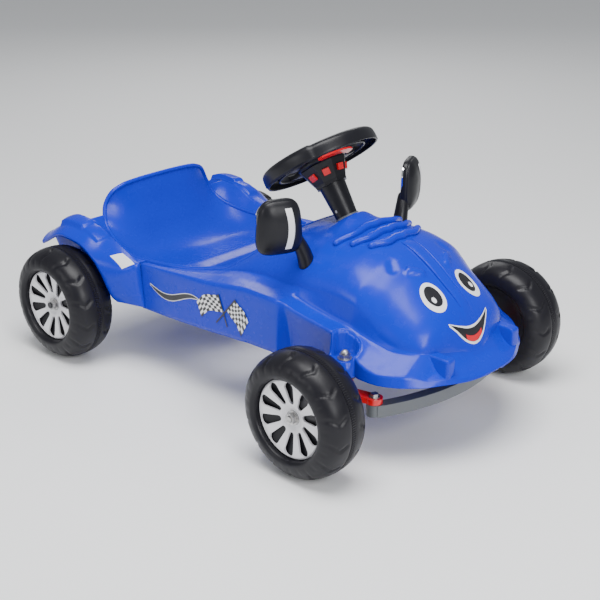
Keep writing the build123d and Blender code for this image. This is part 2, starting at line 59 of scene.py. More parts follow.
floor_half = 6.0
paper = bpy.data.meshes.new("studio_floor")
corners = [(-floor_half, -floor_half, 0), (floor_half, -floor_half, 0),
           (floor_half, floor_half, 0), (-floor_half, floor_half, 0)]
paper.from_pydata(corners, [], [(0, 1, 2, 3)])
floor = bpy.data.objects.new("studio_floor", paper)
bpy.context.scene.collection.objects.link(floor)
paper_finish = bpy.data.materials.new("studio_paper")
paper_finish.use_nodes = True
paper_shader = paper_finish.node_tree.nodes["Principled BSDF"]
paper_shader.inputs["Base Color"].default_value = (0.95, 0.955, 0.96, 1)
paper_shader.inputs["Roughness"].default_value = 0.9
paper.materials.append(paper_finish)

room = bpy.data.worlds.new("pale_room")
bpy.context.scene.world = room
room.use_nodes = True
room.node_tree.nodes["Background"].inputs["Color"].default_value = (0.93, 0.96, 1.0, 1)
room.node_tree.nodes["Background"].inputs["Strength"].default_value = 0.36


def soft_box(name, place, aim, width, height, power):
    """A rectangular lamp at place, facing aim."""
    lamp = bpy.data.lights.new(name, "AREA")
    lamp.shape = "RECTANGLE"
    lamp.size, lamp.size_y, lamp.energy = width, height, power
    box = bpy.data.objects.new(name, lamp)
    box.location = place
    box.rotation_mode = "QUATERNION"
    box.rotation_quaternion = (Vector(aim) - Vector(place)).to_track_quat("-Z", "Y")
    bpy.context.scene.collection.objects.link(box)


soft_box("overhead_box", (0.4, -0.5, 2.6), (0.1, 0, 0.2), 1.8, 1.4, 86)
soft_box("nose_box", (2.6, -0.9, 1.5), (0.3, 0, 0.2), 1.0, 1.4, 46)
soft_box("side_box", (-0.6, -2.8, 1.3), (0, 0, 0.2), 1.6, 0.8, 14)
soft_box("back_box", (-1.9, 1.9, 1.7), (0, 0, 0.25), 1.4, 0.9, 16)

# ---- Moulded body: the hood, the sills and the nose lip ----------------------
# One blow-moulded shell in glossy blue plastic, about 4 mm thick. Seen across
# the car it is a dome with a gutter and a flare; the sills run back from it.
MM = 0.001


def grid_quads(rows, columns, close_rows=False, close_columns=False):
    """Corner numbers of the quads of a rows by columns grid, wrapped where it closes."""
    i, j = np.meshgrid(np.arange(rows if close_rows else rows - 1),
                       np.arange(columns if close_columns else columns - 1), indexing="ij")
    i, j = i.ravel(), j.ravel()
    i_next, j_next = (i + 1) % rows, (j + 1) % columns
    return np.stack([i * columns + j, i_next * columns + j, i_next * columns + j_next,
                     i * columns + j_next], 1)


def put_mesh(name, points, quads, finish, body, seam=0.0, outward=True, smooth=True):
    """A named piece from an array of points in millimetres and an array of faces.

    Points nearer than seam become one, and then faces are turned outwards."""
    mesh = bpy.data.meshes.new(name)
    mesh.from_pydata((np.asarray(points, float).reshape(-1, 3) * MM).tolist(), [],
                     np.asarray(quads).tolist())
    if seam:
        work = bmesh.new()
        work.from_mesh(mesh)
        bmesh.ops.remove_doubles(work, verts=work.verts, dist=seam * MM)
        bmesh.ops.dissolve_degenerate(work, dist=0.01 * MM, edges=work.edges)
        if outward:
            bmesh.ops.recalc_face_normals(work, faces=work.faces)
        work.to_mesh(mesh)
        work.free()
    mesh.polygons.foreach_set("use_smooth", np.full(len(mesh.polygons), smooth))
    mesh.materials.append(finish)
    piece = bpy.data.objects.new(name, mesh)
    bpy.context.scene.collection.objects.link(piece)
    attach(piece, body)
    return piece


def walled(piece, thickness, offset=-1.0):
    """Gives an open sheet its wall, grown inwards from the shown face."""
    solidify = piece.modifiers.new("wall", "SOLIDIFY")
    solidify.thickness = thickness * MM
    solidify.offset = offset
    return piece


def new_group(name, inputs, outputs):
    """An empty shader node group with named sockets, and its two end nodes."""
    group = bpy.data.node_groups.new(name, "ShaderNodeTree")
    for label, kind, value in inputs:
        socket = group.interface.new_socket(label, in_out="INPUT", socket_type=kind)
        socket.default_value = value
    for label, kind in outputs:
        group.interface.new_socket(label, in_out="OUTPUT", socket_type=kind)
    return group, group.nodes.new("NodeGroupInput"), group.nodes.new("NodeGroupOutput")


def moulded_skin():
    """Plastic straight from the mould: cloudy tint, soft ripples, faint rubbed patches.

    Tint and Gloss are the finish wanted; Ripple is the depth of the waviness."""
    group, given, made = new_group(
        "moulded_skin",
        [("Tint", "NodeSocketColor", (0.5, 0.5, 0.5, 1)), ("Gloss", "NodeSocketFloat", 0.25),
         ("Ripple", "NodeSocketFloat", 0.1), ("Cloud", "NodeSocketFloat", 0.1)],
        [("Color", "NodeSocketColor"), ("Roughness", "NodeSocketFloat"),
         ("Normal", "NodeSocketVector")])
    link = group.links.new
    place = group.nodes.new("ShaderNodeTexCoord")
    clouds = group.nodes.new("ShaderNodeTexNoise")
    clouds.inputs["Scale"].default_value = 7.0
    clouds.inputs["Detail"].default_value = 4.0
    link(place.outputs["Object"], clouds.inputs["Vector"])
    swing = group.nodes.new("ShaderNodeMapRange")
    swing.inputs["From Min"].default_value = 0.3
    swing.inputs["From Max"].default_value = 0.7
    swing.inputs["To Min"].default_value = 0.0
    link(clouds.outputs["Fac"], swing.inputs["Value"])
    link(given.outputs["Cloud"], swing.inputs["To Max"])
    darker = group.nodes.new("ShaderNodeMix")
    darker.data_type = "RGBA"
    darker.blend_type = "MULTIPLY"
    darker.inputs["B"].default_value = (0.35, 0.42, 0.55, 1)
    link(swing.outputs["Result"], darker.inputs["Factor"])
    link(given.outputs["Tint"], darker.inputs["A"])
    rub = group.nodes.new("ShaderNodeTexNoise")
    rub.inputs["Scale"].default_value = 55.0
    rub.inputs["Detail"].default_value = 6.0
    link(place.outputs["Object"], rub.inputs["Vector"])
    rub_range = group.nodes.new("ShaderNodeMapRange")
    rub_range.inputs["From Min"].default_value = 0.45
    rub_range.inputs["From Max"].default_value = 0.8
    rub_range.inputs["To Max"].default_value = 0.12
    link(rub.outputs["Fac"], rub_range.inputs["Value"])
    add = group.nodes.new("ShaderNodeMath")
    add.operation = "ADD"
    link(rub_range.outputs["Result"], add.inputs[0])
    link(given.outputs["Gloss"], add.inputs[1])
    waves = group.nodes.new("ShaderNodeTexNoise")
    waves.inputs["Scale"].default_value = 38.0
    waves.inputs["Detail"].default_value = 2.0
    link(place.outputs["Object"], waves.inputs["Vector"])
    fine = group.nodes.new("ShaderNodeTexNoise")
    fine.inputs["Scale"].default_value = 650.0
    fine.inputs["Detail"].default_value = 2.0
    link(place.outputs["Object"], fine.inputs["Vector"])
    both = group.nodes.new("ShaderNodeMath")
    both.operation = "MULTIPLY_ADD"
    both.inputs[1].default_value = 0.12
    link(fine.outputs["Fac"], both.inputs[0])
    link(waves.outputs["Fac"], both.inputs[2])
    bump = group.nodes.new("ShaderNodeBump")
    bump.inputs["Distance"].default_value = 0.002
    link(given.outputs["Ripple"], bump.inputs["Strength"])
    link(both.outputs["Value"], bump.inputs["Height"])
    link(darker.outputs["Result"], made.inputs["Color"])
    link(add.outputs["Value"], made.inputs["Roughness"])
    link(bump.outputs["Normal"], made.inputs["Normal"])
    return group


skin_group = moulded_skin()


def plastic(name, tint, gloss, ripple, cloud, coat=0.0, specular=0.5):
    """A material of moulded plastic in one tint."""
    finish = bpy.data.materials.new(name)
    finish.use_nodes = True
    tree = finish.node_tree
    shader = tree.nodes["Principled BSDF"]
    skin = tree.nodes.new("ShaderNodeGroup")
    skin.node_tree = skin_group
    skin.inputs["Tint"].default_value = (*tint, 1)
    skin.inputs["Gloss"].default_value = gloss
    skin.inputs["Ripple"].default_value = ripple
    skin.inputs["Cloud"].default_value = cloud
    tree.links.new(skin.outputs["Color"], shader.inputs["Base Color"])
    tree.links.new(skin.outputs["Roughness"], shader.inputs["Roughness"])
    tree.links.new(skin.outputs["Normal"], shader.inputs["Normal"])
    shader.inputs["Specular IOR Level"].default_value = specular
    shader.inputs["Coat Weight"].default_value = coat
    shader.inputs["Coat Roughness"].default_value = 0.06
    return finish


blue = plastic("blue_moulding", (0.0, 0.018, 0.56), 0.23, 0.022, 0.16, specular=0.27)


def gentle(at, known_at, known):
    """Monotone cubic curves through known values, one for each column.

    The slope at a knot is the harmonic mean of its two chords, or nil at a peak."""
    known_at = np.asarray(known_at, float)
    known = np.asarray(known, float).reshape(len(known_at), -1)
    run = np.diff(known_at)[:, None]
    chord = np.diff(known, axis=0) / run
    slope = np.zeros_like(known)
    same = chord[:-1] * chord[1:] > 0
    total = np.where(same, chord[:-1] + chord[1:], 1)
    slope[1:-1] = np.where(same, 2 * chord[:-1] * chord[1:] / total, 0)
    slope[0], slope[-1] = chord[0], chord[-1]
    k = np.clip(np.searchsorted(known_at, at) - 1, 0, len(run) - 1)
    t = ((np.asarray(at, float) - known_at[k]) / run[k, 0])[:, None]
    h = run[k]
    return ((1 + 2 * t) * (1 - t) ** 2 * known[k] + t * (1 - t) ** 2 * h * slope[k]
            + t * t * (3 - 2 * t) * known[k + 1] + t * t * (t - 1) * h * slope[k + 1])


def step_up(value, low, high):
    """0 below low, 1 above high and a smooth rise between."""
    t = np.clip((value - low) / (high - low), 0, 1)
    return t * t * (3 - 2 * t)


# x: cockpit edge (y, z); crown; dome foot (y, z); gutter (y, z); flare (y, z); skirt (y, z)
body_lines = np.array([
    [-198, 180, 218, 223, 184, 216, 191, 218, 200, 217, 198, 127],
    [-150, 178, 222, 227, 182, 220, 190, 221, 200, 220, 198, 128],
    [-93, 162, 226, 231, 167, 225, 184, 226, 200, 224, 198, 130],
    [-31, 139, 236, 246, 146, 233, 172, 233, 200, 228, 198, 133],
    [0, 124, 256, 266, 144, 240, 168, 238, 200, 231, 198, 135],
    [40, 95, 290, 298, 146, 248, 168, 243, 200, 237, 198, 138],
    [62, 66, 309, 311, 147, 250, 168, 245, 200, 240, 198, 139],
    [74, 40, 317, 318, 148, 251, 168, 246, 200, 242, 198, 140],
    [81, 0, 321, 321, 148, 252, 168, 246, 200, 243, 198, 141],
    [125, 0, 328, 328, 150, 252, 170, 245, 200, 243, 198, 142],
    [157, 0, 336, 336, 150, 254, 166, 243, 199, 242, 198, 143],
    [174, 0, 338, 338, 150, 256, 160, 238, 191, 234, 176, 150],
    [206, 0, 338, 338, 149, 257, 157, 230, 190, 227, 174, 150],
    [247, 0, 335, 335, 148, 257, 154, 222, 188, 220, 172, 150],
    [285, 0, 326, 326, 147, 252, 152, 216, 187, 214, 172, 150],
    [310, 0, 315, 315, 142, 235, 147, 205, 186, 203, 178, 151],
    [337, 0, 299, 299, 138, 210, 142, 197, 188, 178, 189, 150],
    [369, 0, 275, 275, 132, 198, 137, 190, 180, 165, 184, 148],
    [404, 0, 246, 246, 113, 192, 119, 188, 158, 163, 165, 147],
    [420, 0, 223, 223, 84, 188, 92, 185, 140, 160, 150, 147],
    [432, 0, 192, 192, 42, 181, 54, 178, 125, 157, 136, 147],
    [439, 0, 174, 174, 14, 173, 50, 171, 116, 157, 126, 147],
    [447, 0, 165, 165, 22, 165, 50, 164, 104, 157, 111, 147],
    [461, 0, 158, 158, 20, 158, 45, 158, 78, 155, 85, 147],
    [472, 0, 153, 153, 14, 153, 30, 153, 50, 151, 57, 147],
    [478, 0, 150, 150, 4, 150, 9, 150, 13, 149, 17, 147]], float)
front_x = np.concatenate([np.arange(-198, 81, 4.5), np.arange(81, 150, 3.0),
                          np.arange(150, 180, 1.8), np.arange(180, 380, 2.6),
                          np.arange(380, 442, 1.5), np.linspace(442, 478, 16)])
dome_count, gutter_count, flare_count, skirt_count = 46, 7, 12, 14


def body_section(x):
    """Half sections (y, z) at each x: a dome, a gutter, a flare and a skirt.

    The dome's height is (1 - s^p)^k of its rise, at s of its half-width, cut off at
    the cockpit edge; it meets its foot at a slope, and the wall below is a step."""
    edge_y, edge_z, crown, foot_y, foot_z, *rest = gentle(x, body_lines[:, 0], body_lines[:, 1:]).T
    power, ending = 2.15, 0.60
    start = np.arcsin(np.clip(edge_y / foot_y, 0, 0.97))
    run = np.linspace(0, 1, dome_count)
    angle = start[:, None] + (np.pi / 2 - start[:, None]) * run
    y = foot_y[:, None] * np.sin(angle)
    height = (crown - foot_z)[:, None]
    z = foot_z[:, None] + height * np.clip(1 - np.sin(angle) ** power, 0, 1) ** ending
    z += (edge_z - z[:, 0])[:, None] * (1 - run) ** 2
    y[:, 0] = edge_y
    last_y, last_z = foot_y, foot_z
    for count, (next_y, next_z) in zip((gutter_count, flare_count, skirt_count),
                                       zip(rest[0::2], rest[1::2])):
        share = np.arange(1, count + 1) / count
        y = np.hstack([y, last_y[:, None] + (next_y - last_y)[:, None] * share])
        z = np.hstack([z, last_z[:, None] + (next_z - last_z)[:, None] * share])
        last_y, last_z = next_y, next_z
    for _ in range(2):
        for line in (y, z):
            line[:, 1:-1] = (line[:, :-2] + 2 * line[:, 1:-1] + line[:, 2:]) / 4
    return y, z


body_y, body_z = body_section(front_x)
body_x = np.repeat(front_x[:, None], body_y.shape[1], 1)

# The raised spine down the crown; the brow blocks and the dimples follow.
spine = step_up(body_x, 262, 300) * (1 - step_up(body_x, 395, 425))
body_z += 4.0 * spine * (1 - step_up(body_y, 10.0, 12.5))


def near_line(x, y, start, end, half_width, edge):
    """1 within half_width of the line from start to end, seen from above, 0 past edge."""
    start, end = np.array(start, float), np.array(end, float)
    way = end - start
    share = np.clip(((x - start[0]) * way[0] + (y - start[1]) * way[1]) / (way @ way), 0, 1)
    gap = np.hypot(x - start[0] - share * way[0], y - start[1] - share * way[1])
    return 1 - step_up(gap, half_width, half_width + edge)


body_z += 6.5 * near_line(body_x, body_y, (341, 34), (327, 52), 4.0, 3.0)
body_z -= 3.5 * near_line(body_x, body_y, (300, 66), (308, 72), 2.0, 9.0)

# The hood swells up to the column's collar, whose mouth leans back.
ring_x, ring_z, ring_slope = 141.0, 341.0, 0.713
ring_gap = np.hypot(body_x - ring_x - 4, body_y)
ring_plane = ring_z - 3.5 + ring_slope * np.clip(body_x - ring_x, -24, 24)
swelling = (1 - step_up(ring_gap, 16, 68)) ** 1.3 * (body_x > 84)
body_z += (ring_plane - body_z) * swelling * (ring_plane > body_z)

# The hood drops into a round niche over each kingpin.
pin_x, pin_y = 301.0, 182.0
pin_gap = np.hypot(body_x - pin_x, body_y - pin_y)
niche = 1 - step_up(pin_gap, 21.5, 25.5)
body_z = body_z * (1 - niche) + np.minimum(body_z, 171.0) * niche

half = np.stack([body_x, body_y, body_z], 2)
rows, columns = half.shape[:2]
one_side = grid_quads(rows, columns)
other = half * (1, -1, 1)
shell = put_mesh("hood_and_sills", np.concatenate([half.reshape(-1, 3), other.reshape(-1, 3)]),
                 np.concatenate([one_side, one_side[:, ::-1] + rows * columns]),
                 blue, "root", seam=0.02)
walled(shell, 3.6)
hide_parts("body_shell")

# Heights of the shell on a regular (x, y) table, for what sits on it.
table_y = np.linspace(0, 200, 201)
top_columns = dome_count + gutter_count + flare_count
table_z = np.array([np.interp(table_y, y_row[:top_columns], z_row[:top_columns])
                    for y_row, z_row in zip(body_y, body_z)])


def on_shell(x, y, lift=0.0):
    """Points on the shell over (x, y), raised along the surface's normal by lift."""
    x, y = np.broadcast_arrays(np.asarray(x, float), np.asarray(y, float))

    def height(at_x, at_y):
        i = np.clip(np.searchsorted(front_x, at_x) - 1, 0, len(front_x) - 2)
        u = (at_x - front_x[i]) / (front_x[i + 1] - front_x[i])
        j = np.clip(np.abs(at_y), 0, 199.9)
        k = j.astype(int)
        v = j - k
        low = table_z[i, k] * (1 - v) + table_z[i, k + 1] * v
        high = table_z[i + 1, k] * (1 - v) + table_z[i + 1, k + 1] * v
        return low * (1 - u) + high * u

    z = height(x, y)
    reach = 2.0
    slope_x = (height(x + reach, y) - height(x - reach, y)) / (2 * reach)
    slope_y = (height(x, y + reach) - height(x, y - reach)) / (2 * reach)
    normal = np.stack([-slope_x, -slope_y, np.ones_like(z)], -1)
    normal /= np.linalg.norm(normal, axis=-1, keepdims=True)
    return np.stack([x, y, z], -1) + normal * np.asarray(lift, float)[..., None]


# ---- Seat -----------------------------------------------------------------
# A bucket in the same blue moulding: a level pan that rolls down at the knees
# and sweeps up into a backrest. Its rim is the rolled edge of the cockpit.
seat_middle = [(-97, 191), (-104, 199), (-116, 206), (-140, 208), (-172, 199), (-210, 184),
               (-262, 177.5), (-303, 188), (-324, 208), (-339, 236), (-352, 267), (-361, 298),
               (-367, 318)]
seat_rim = [(-88, 158, 220), (-96, 163, 226), (-112, 168, 225), (-140, 176, 223),
            (-175, 180, 220), (-215, 179, 216), (-262, 171, 213), (-305, 161, 218),
            (-342, 151, 228), (-368, 144, 247), (-379, 134, 278), (-374, 118, 303),
            (-369, 92, 314)]
seat_curl = [5, 5, 5, 5.2, 5.4, 5.6, 5.4, 5, 4.4, 4, 3.6, 3.2, 3]
knots = np.arange(len(seat_middle))
seat_u = np.linspace(0, knots[-1], 97)
middle = gentle(seat_u, knots, seat_middle)
rim = gentle(seat_u, knots, seat_rim)
curl = gentle(seat_u, knots, seat_curl)
across = np.linspace(-1, 1, 81)
across = np.sign(across) * (1 - (1 - np.abs(across)) ** 1.25)
share = np.abs(across)[None, :] ** curl
seat = np.stack([middle[:, :1] + (rim[:, :1] - middle[:, :1]) * share,
                 rim[:, 1:2] * across[None, :],
                 middle[:, 1:] + (rim[:, 2:] - middle[:, 1:]) * share], 2)
seat_piece = put_mesh("seat_bucket", seat, grid_quads(*seat.shape[:2])[:, ::-1], blue, "root")
walled(seat_piece, 3.6)

# The rolled edge: one bead round the seat, along the cockpit and under the column.


def tube_along(path, radius, around=12, closed=False, ends=1.0):
    """Rings of a round tube about a path, rounded off at open ends.

    Each ring stands square to the path on its own normal and a second one."""
    path = np.asarray(path, float)
    if closed:
        way = np.roll(path, -1, 0) - np.roll(path, 1, 0)
    else:
        way = np.gradient(path, axis=0)
    way /= np.linalg.norm(way, axis=1, keepdims=True)
    up = np.array([0.0, 0.0, 1.0]) - way * way[:, 2:]
    up /= np.linalg.norm(up, axis=1, keepdims=True)
    side = np.cross(way, up)
    turn = np.linspace(0, 2 * np.pi, around, endpoint=False)
    size = np.broadcast_to(np.asarray(radius, float), (len(path),)).copy()
    points = path[:, None] + size[:, None, None] * (
        np.cos(turn)[None, :, None] * up[:, None] + np.sin(turn)[None, :, None] * side[:, None])
    if closed:
        return points, grid_quads(len(path), around, close_rows=True, close_columns=True)
    rings = [points]
    for place, direction, ring_size, ring_up, ring_side, first in (
            (path[0], -way[0], size[0], up[0], side[0], True),
            (path[-1], way[-1], size[-1], up[-1], side[-1], False)):
        bend = np.radians([88, 65, 40, 18] if first else [18, 40, 65, 88])
        cap = (place + ends * ring_size * np.sin(bend)[:, None, None] * direction
               + ring_size * np.cos(bend)[:, None, None] * (
                   np.cos(turn)[None, :, None] * ring_up + np.sin(turn)[None, :, None] * ring_side))
        rings = [cap] + rings if first else rings + [cap]
    points = np.concatenate(rings)
    return points, grid_quads(len(points), around, close_columns=True)


edge_rows = front_x <= 81
cockpit = np.stack([front_x[edge_rows], body_y[edge_rows, 0], body_z[edge_rows, 0]], 1)[::-1]
cockpit = cockpit[cockpit[:, 0] > -190]
seat_side = rim[seat_u > 4.7]
top_edge = seat[-1][::-1][2:-2]
right_half = np.concatenate([cockpit, seat_side]) * (1, 1, 1)
loop = np.concatenate([right_half, top_edge, (right_half * (1, -1, 1))[::-1][:-1]])
for _ in range(4):
    loop = (np.roll(loop, 1, 0) + 2 * loop + np.roll(loop, -1, 0)) / 4
points, quads = tube_along(loop + (0, 0, -1.5), 4.2, closed=True)
put_mesh("rolled_edge", points, quads, blue, "root", seam=0.01)

# ---- Rear mudguards ----------------------------------------------------------
# Each rear wheel stands under a crowned guard, part of the same moulding. It
# sweeps down in front of the wheel to the sill, and three steps stiffen it.
rear_x, rear_z = -369.0, 110.0
guard_degrees = np.array([7, 18, 30, 44, 58, 75, 95, 134], float)
guard_inner = gentle(np.linspace(7, 134, 110), guard_degrees, [
    (-190, 199, 130), (-194, 200, 175), (-198, 201, 217), (-226, 191, 219), (-288, 184, 236),
    (-330, 184, 255), (-382, 184, 259.5), (-473, 186, 218)])
guard_outer = gentle(np.linspace(7, 134, 110), guard_degrees, [
    (-243, 220, 132), (-246, 232, 148), (-256, 238, 175), (-274, 239, 200), (-300, 239, 221),
    (-335, 239, 236.5), (-380, 239, 240.5), (-462, 232, 205)])
guard_turn = np.linspace(7, 134, 110)
guard_w = np.linspace(0, 1, 40)
lean = guard_w[None, :] ** 1.0
fall = guard_w[None, :] ** 2.4
guard = guard_inner[:, None] + (guard_outer - guard_inner)[:, None] * lean[..., None]
inner_r = np.hypot(guard_inner[:, 0] - rear_x, guard_inner[:, 2] - rear_z)
outer_r = np.hypot(guard_outer[:, 0] - rear_x, guard_outer[:, 2] - rear_z)
guard_r = inner_r[:, None] + (outer_r - inner_r)[:, None] * fall
flat_r = np.hypot(guard[..., 0] - rear_x, guard[..., 2] - rear_z)
rib = (3.5 * step_up(guard_turn, 61, 64) + 5.5 * step_up(guard_turn, 80, 83)
       - 9.0 * step_up(guard_turn, 108, 112))
rib_side = step_up(guard_w, 0.03, 0.10) * (1 - step_up(guard_w, 0.55, 0.66))
guard_r = guard_r + rib[:, None] * rib_side[None, :]
grow = (guard_r / flat_r)[..., None]
axis_line = np.array([rear_x, 0, rear_z])
guard = np.where(np.array([True, False, True]), axis_line + (guard - axis_line) * grow, guard)
skirt = guard[:, -1:] - np.stack([np.zeros(110), np.full(110, 0.5), np.zeros(110)], 1)[:, None]
skirt = np.where(np.array([True, False, True]),
                 axis_line + (skirt - axis_line) * (1 - 5.5 / outer_r)[:, None, None], skirt)
guard = np.concatenate([guard, skirt], 1)
# The deck between the seat's rim and the guard, and the wall beside the wheel.
deck_u = np.linspace(4.7, 9.4, 40)
deck_rim = gentle(deck_u, knots, seat_rim)
deck_edge_turn = np.interp(deck_rim[:, 0], guard_inner[::-1, 0], guard_turn[::-1])
deck_edge = gentle(deck_edge_turn, guard_turn, guard[:, 0])
deck_share = np.linspace(0, 1, 9)[None, :, None]
deck = deck_rim[:, None] * (1 - deck_share) + deck_edge[:, None] * deck_share
wall_turn = np.radians(np.linspace(8, 140, 50))
wall_top = np.stack([rear_x + 147 * np.cos(wall_turn), np.full(50, 184.0),
                     rear_z + 147 * np.sin(wall_turn)], 1)
wall_foot = np.stack([np.linspace(-236, -446, 50), np.full(50, 184.0),
                      np.interp(np.linspace(-236, -446, 50), [-446, -404, -236], [150, 122, 122])], 1)
wall_share = np.linspace(0, 1, 8)[None, :, None]
inner_wall = wall_top[:, None] * (1 - wall_share) + wall_foot[:, None] * wall_share
for side, name in ((1, "left"), (-1, "right")):
    for part, title, facing in ((guard, "mudguard_", -side), (deck, "guard_deck_", -side),
                                (inner_wall, "wheel_wall_", side)):
        quads = grid_quads(*part.shape[:2])
        piece = put_mesh(title + name, part * (1, side, 1), quads[:, ::facing], blue, "root")
        walled(piece, 3.2)

# ---- Collar, ridges and guards on the hood ---------------------------------------
# More of the same moulding: the flared collar round the column, three wavy
# ridges over the crown, and two buffers standing on the nose lip.
column_foot = np.array([141.0, 0.0, 341.0])
column_tilt = math.radians(35.5)
column_way = np.array([-math.sin(column_tilt), 0, math.cos(column_tilt)])
column_fore = np.array([math.cos(column_tilt), 0, math.sin(column_tilt)])


def turned_on_column(profile, around):
    """A profile of (radius, height) turned about the steering column."""
    profile = np.asarray(profile, float)
    turn = np.linspace(0, 2 * np.pi, around, endpoint=False)
    spoke = np.cos(turn)[:, None] * column_fore + np.sin(turn)[:, None] * np.array([0, 1.0, 0])
    return (column_foot + profile[None, :, 1:] * column_way + profile[None, :, :1] * spoke[:, None])


collar_run = np.linspace(0, 1, 30)
collar_profile = np.stack([24 + 14 * collar_run ** 2, -4.5 - 16 * collar_run ** 0.8], 1)
collar_profile = np.concatenate([[(21.5, -4.2), (23.6, -4.2)], collar_profile])
collar = turned_on_column(collar_profile, 96)
collar_quads = grid_quads(96, len(collar_profile), close_rows=True)[:, ::-1]
piece = put_mesh("column_collar", collar, collar_quads,
                 blue, "root")
walled(piece, 3.0)

for number, (reach_y, end_x, mid_x, wave) in enumerate(
        ((84, 194, 205, 2.6), (74, 224, 236, 2.6), (62, 254, 266, 2.4))):
    run = np.linspace(-1, 1, 90)
    ridge_y = reach_y * run
    ridge_x = end_x + (mid_x - end_x) * (1 - run ** 2) - wave * np.sin(np.abs(run) * 2.6 * np.pi)
    path = on_shell(ridge_x, ridge_y, 3.0)
    for _ in range(14):
        path[1:-1, 2] = (path[:-2, 2] + 2 * path[1:-1, 2] + path[2:, 2]) / 4
    points, quads = tube_along(path, 7.2 - 1.2 * np.abs(run), around=20)
    put_mesh(f"crown_ridge_{number + 1}", points, quads, blue, "root", seam=0.01)


# Two fine creases run down the nose, along the edges of the raised spine.
crease_run = np.linspace(0, 1, 60)
for side, name in ((1, "left"), (-1, "right")):
    path = on_shell(278 + 128 * crease_run, 13.0 - 3.0 * crease_run, 0.6) * (1, side, 1)
    for _ in range(10):
        path[1:-1, 2] = (path[:-2, 2] + 2 * path[1:-1, 2] + path[2:, 2]) / 4
    points, quads = tube_along(path, 2.4 * np.sin(np.pi * (0.08 + 0.84 * crease_run)), around=12)
    put_mesh("spine_crease_" + name, points, quads, blue, "root", seam=0.01)


def soft_block(middle, half_size, power=8.0, rings=40, around=56):
    """A block with rounded edges: |x/a|^n + |y/b|^n + |z/c|^n = 1."""
    e = 2 / power
    up = np.linspace(-np.pi / 2, np.pi / 2, rings)[:, None]
    turn = np.linspace(-np.pi, np.pi, around, endpoint=False)[None, :]

    def rounded(value):
        return np.sign(value) * np.abs(value) ** e

    unit = np.stack([rounded(np.cos(up)) * rounded(np.cos(turn)),
                     rounded(np.cos(up)) * rounded(np.sin(turn)),
                     rounded(np.sin(up)) * np.ones_like(turn)], 2)
    return unit * half_size + middle, grid_quads(rings, around, close_columns=True)


for side, name in ((1, "left"), (-1, "right")):
    points, quads = soft_block(np.array([422, 91, 170]), np.array([31.0, 10.5, 19.5]), 8.0)
    points[..., 1] += np.where(points[..., 0] > 430, (points[..., 0] - 430) * -0.05, 0)
    put_mesh("nose_buffer_" + name, points * (1, side, 1), quads[:, ::side], blue, "root",
             seam=0.01)

# A round niche each side, where the kingpin's nut sits on a ledge.
niche_turn = np.linspace(0, 2 * np.pi, 72, endpoint=False)
rim_x = pin_x + 25.5 * np.cos(niche_turn)
rim_y = pin_y + 25.5 * np.sin(niche_turn)
rim_top = on_shell(rim_x, np.clip(rim_y, 0, 184))[:, 2] + 0.8
outside = step_up(rim_y, 186, 200)
rim_top = rim_top * (1 - outside) + 179.0 * outside
cup_radius = np.array([0.5, 20.5, 22.0, 22.6, 24.0, 25.6, 26.4, 26.4])
cup_up = np.array([0, 0, 0.06, 0.9, 1.0, 1.0, 0.93, -0.9])
cup_z = 174.0 + np.where(cup_up > 0, cup_up, 0)[None, :] * (rim_top[:, None] - 174.0)
cup_z[:, -1] = 150.0
cup = np.stack([pin_x + cup_radius[None, :] * np.cos(niche_turn)[:, None],
                pin_y + cup_radius[None, :] * np.sin(niche_turn)[:, None], cup_z], 2)
for side, name in ((1, "left"), (-1, "right")):
    piece = put_mesh("kingpin_niche_" + name, cup * (1, side, 1),
                     grid_quads(*cup.shape[:2], close_rows=True)[:, ::-side], blue, "root")

# ---- Finishes of the pieces that keep their machined or moulded shape --------------
black = plastic("black_moulding", (0.008, 0.008, 0.011), 0.33, 0.04, 0.2, specular=0.3)
tyre_black = plastic("blown_black", (0.009, 0.0085, 0.012), 0.36, 0.05, 0.25, specular=0.28)
white = plastic("white_trim", (0.78, 0.77, 0.80), 0.28, 0.04, 0.08, coat=0.2)
red = plastic("red_moulding", (0.72, 0.006, 0.012), 0.28, 0.05, 0.15, coat=0.2)
grey = plastic("grey_moulding", (0.115, 0.125, 0.135), 0.38, 0.08, 0.2)
film = plastic("mirror_foil", (0.82, 0.83, 0.85), 0.05, 0.02, 0.02)
film.node_tree.nodes["Principled BSDF"].inputs["Metallic"].default_value = 1.0


def metal(name, tint, dark, roughness):
    """Plated or painted steel: fine grain, with duller spots where it has been touched."""
    finish = bpy.data.materials.new(name)
    finish.use_nodes = True
    tree = finish.node_tree
    shader = tree.nodes["Principled BSDF"]
    place = tree.nodes.new("ShaderNodeTexCoord")
    spots = tree.nodes.new("ShaderNodeTexNoise")
    spots.inputs["Scale"].default_value = 180.0
    spots.inputs["Detail"].default_value = 6.0
    tree.links.new(place.outputs["Object"], spots.inputs["Vector"])
    ramp = tree.nodes.new("ShaderNodeValToRGB")
    ramp.color_ramp.elements[0].position = 0.35
    ramp.color_ramp.elements[0].color = (*dark, 1)
    ramp.color_ramp.elements[1].position = 0.62
    ramp.color_ramp.elements[1].color = (*tint, 1)
    tree.links.new(spots.outputs["Fac"], ramp.inputs["Fac"])
    tree.links.new(ramp.outputs["Color"], shader.inputs["Base Color"])
    dull = tree.nodes.new("ShaderNodeMapRange")
    dull.inputs["To Min"].default_value = roughness + 0.2
    dull.inputs["To Max"].default_value = roughness - 0.05
    tree.links.new(spots.outputs["Fac"], dull.inputs["Value"])
    tree.links.new(dull.outputs["Result"], shader.inputs["Roughness"])
    shader.inputs["Metallic"].default_value = 1.0
    return finish


